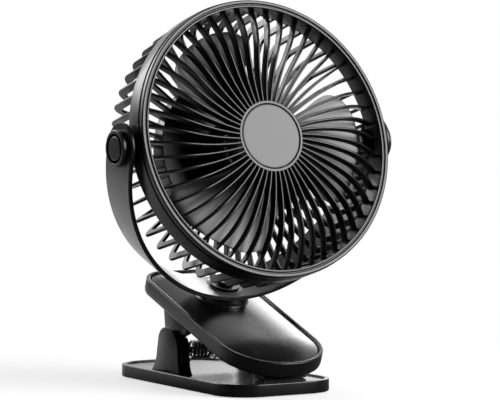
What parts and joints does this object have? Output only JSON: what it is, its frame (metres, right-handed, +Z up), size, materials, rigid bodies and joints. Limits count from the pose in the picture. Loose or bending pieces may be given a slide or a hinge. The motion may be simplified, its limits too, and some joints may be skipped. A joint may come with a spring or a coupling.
{
  "type": "clip fan",
  "caption": "Small rechargeable fan: a caged three-blade head tilts in a U-shaped yoke that swivels on the upper jaw of a spring clip.",
  "frame": {"origin": "middle of the underside of the clip's rubber foot", "axes": "+Z up, +X along the head's tilt axis towards the fan's left-hand arm as the fan looks out (right in the picture), -Y the way that the fan and the clip's nose face"},
  "size_m": [0.1664, 0.1429, 0.2077],
  "materials": {
    "satin_plastic": "satin black",
    "gloss_plastic": "high gloss black",
    "matte_plastic": "matte black",
    "rubber": "matte black rubber",
    "steel": "bright steel",
    "black_steel": "blackened steel",
    "copper": "varnished copper wire over iron",
    "board": "green circuit board",
    "pouch": "foil pouch",
    "lamp": "clear light guide"
  },
  "bodies": {
    "base": {"base_plate": "satin_plastic", "base_foot": "rubber", "base_pad": "rubber", "hinge_pin": "steel", "spring_base_half": "steel"},
    "jaw": {"jaw_shell": "satin_plastic", "jaw_lid": "gloss_plastic", "battery_pack": "pouch", "charge_board": "board", "swivel_post": "steel", "swivel_collar": "matte_plastic", "jaw_pad": "rubber", "spring_jaw_half": "steel"},
    "yoke": {"yoke_strap": "satin_plastic", "swivel_washer": "black_steel", "swivel_screw": "black_steel", "pivot_cap_right": "satin_plastic", "pivot_cap_left": "satin_plastic", "pivot_washer_right": "matte_plastic", "pivot_washer_left": "matte_plastic"},
    "head": {"front_grille": "satin_plastic", "hub_badge": "gloss_plastic", "rear_cage": "satin_plastic", "motor_can": "steel", "motor_end_bell": "matte_plastic", "motor_magnet": "matte_plastic", "motor_front_bush": "steel", "motor_rear_bush": "steel", "rear_cover": "satin_plastic", "control_board": "board", "button_switch": "matte_plastic", "indicator_light": "lamp", "charging_socket": "steel", "cover_screw_1": "black_steel", "cover_screw_2": "black_steel", "cover_screw_3": "black_steel", "pivot_screw_right": "black_steel", "pivot_screw_left": "black_steel"},
    "propeller_shaft": {"propeller": "gloss_plastic", "motor_shaft": "steel", "motor_rotor": "copper"},
    "button": {"power_button": "gloss_plastic", "switch_plunger": "matte_plastic"}
  },
  "joints": [
    {"name": "clip_open", "type": "hinge", "parent": "base", "child": "jaw", "pos_m": [0, 0.012, 0.018], "axis": [-1, 0, 0], "range_deg": [0, 25], "stiffness_Nm_per_rad": 0.9, "springref_deg": -40.11},
    {"name": "yoke_swivel", "type": "hinge", "parent": "jaw", "child": "yoke", "pos_m": [0, 0, 0.0452], "axis": [0, -0.342, 0.9397], "range_deg": [-180, 180]},
    {"name": "head_tilt", "type": "hinge", "parent": "yoke", "child": "head", "pos_m": [0, -0.03105, 0.13052], "axis": [-1, 0, 0], "range_deg": [-180, 180]},
    {"name": "fan_spin", "type": "hinge", "parent": "head", "child": "propeller_shaft", "pos_m": [0, -0.03105, 0.13052], "axis": [0, -0.965, 0.2622], "continuous": true},
    {"name": "button_press", "type": "slide", "parent": "head", "child": "button", "axis": [0, -0.965, 0.2622], "range_m": [0, 0.0008], "stiffness_N_per_m": 800, "springref_m": -0.001}
  ]
}
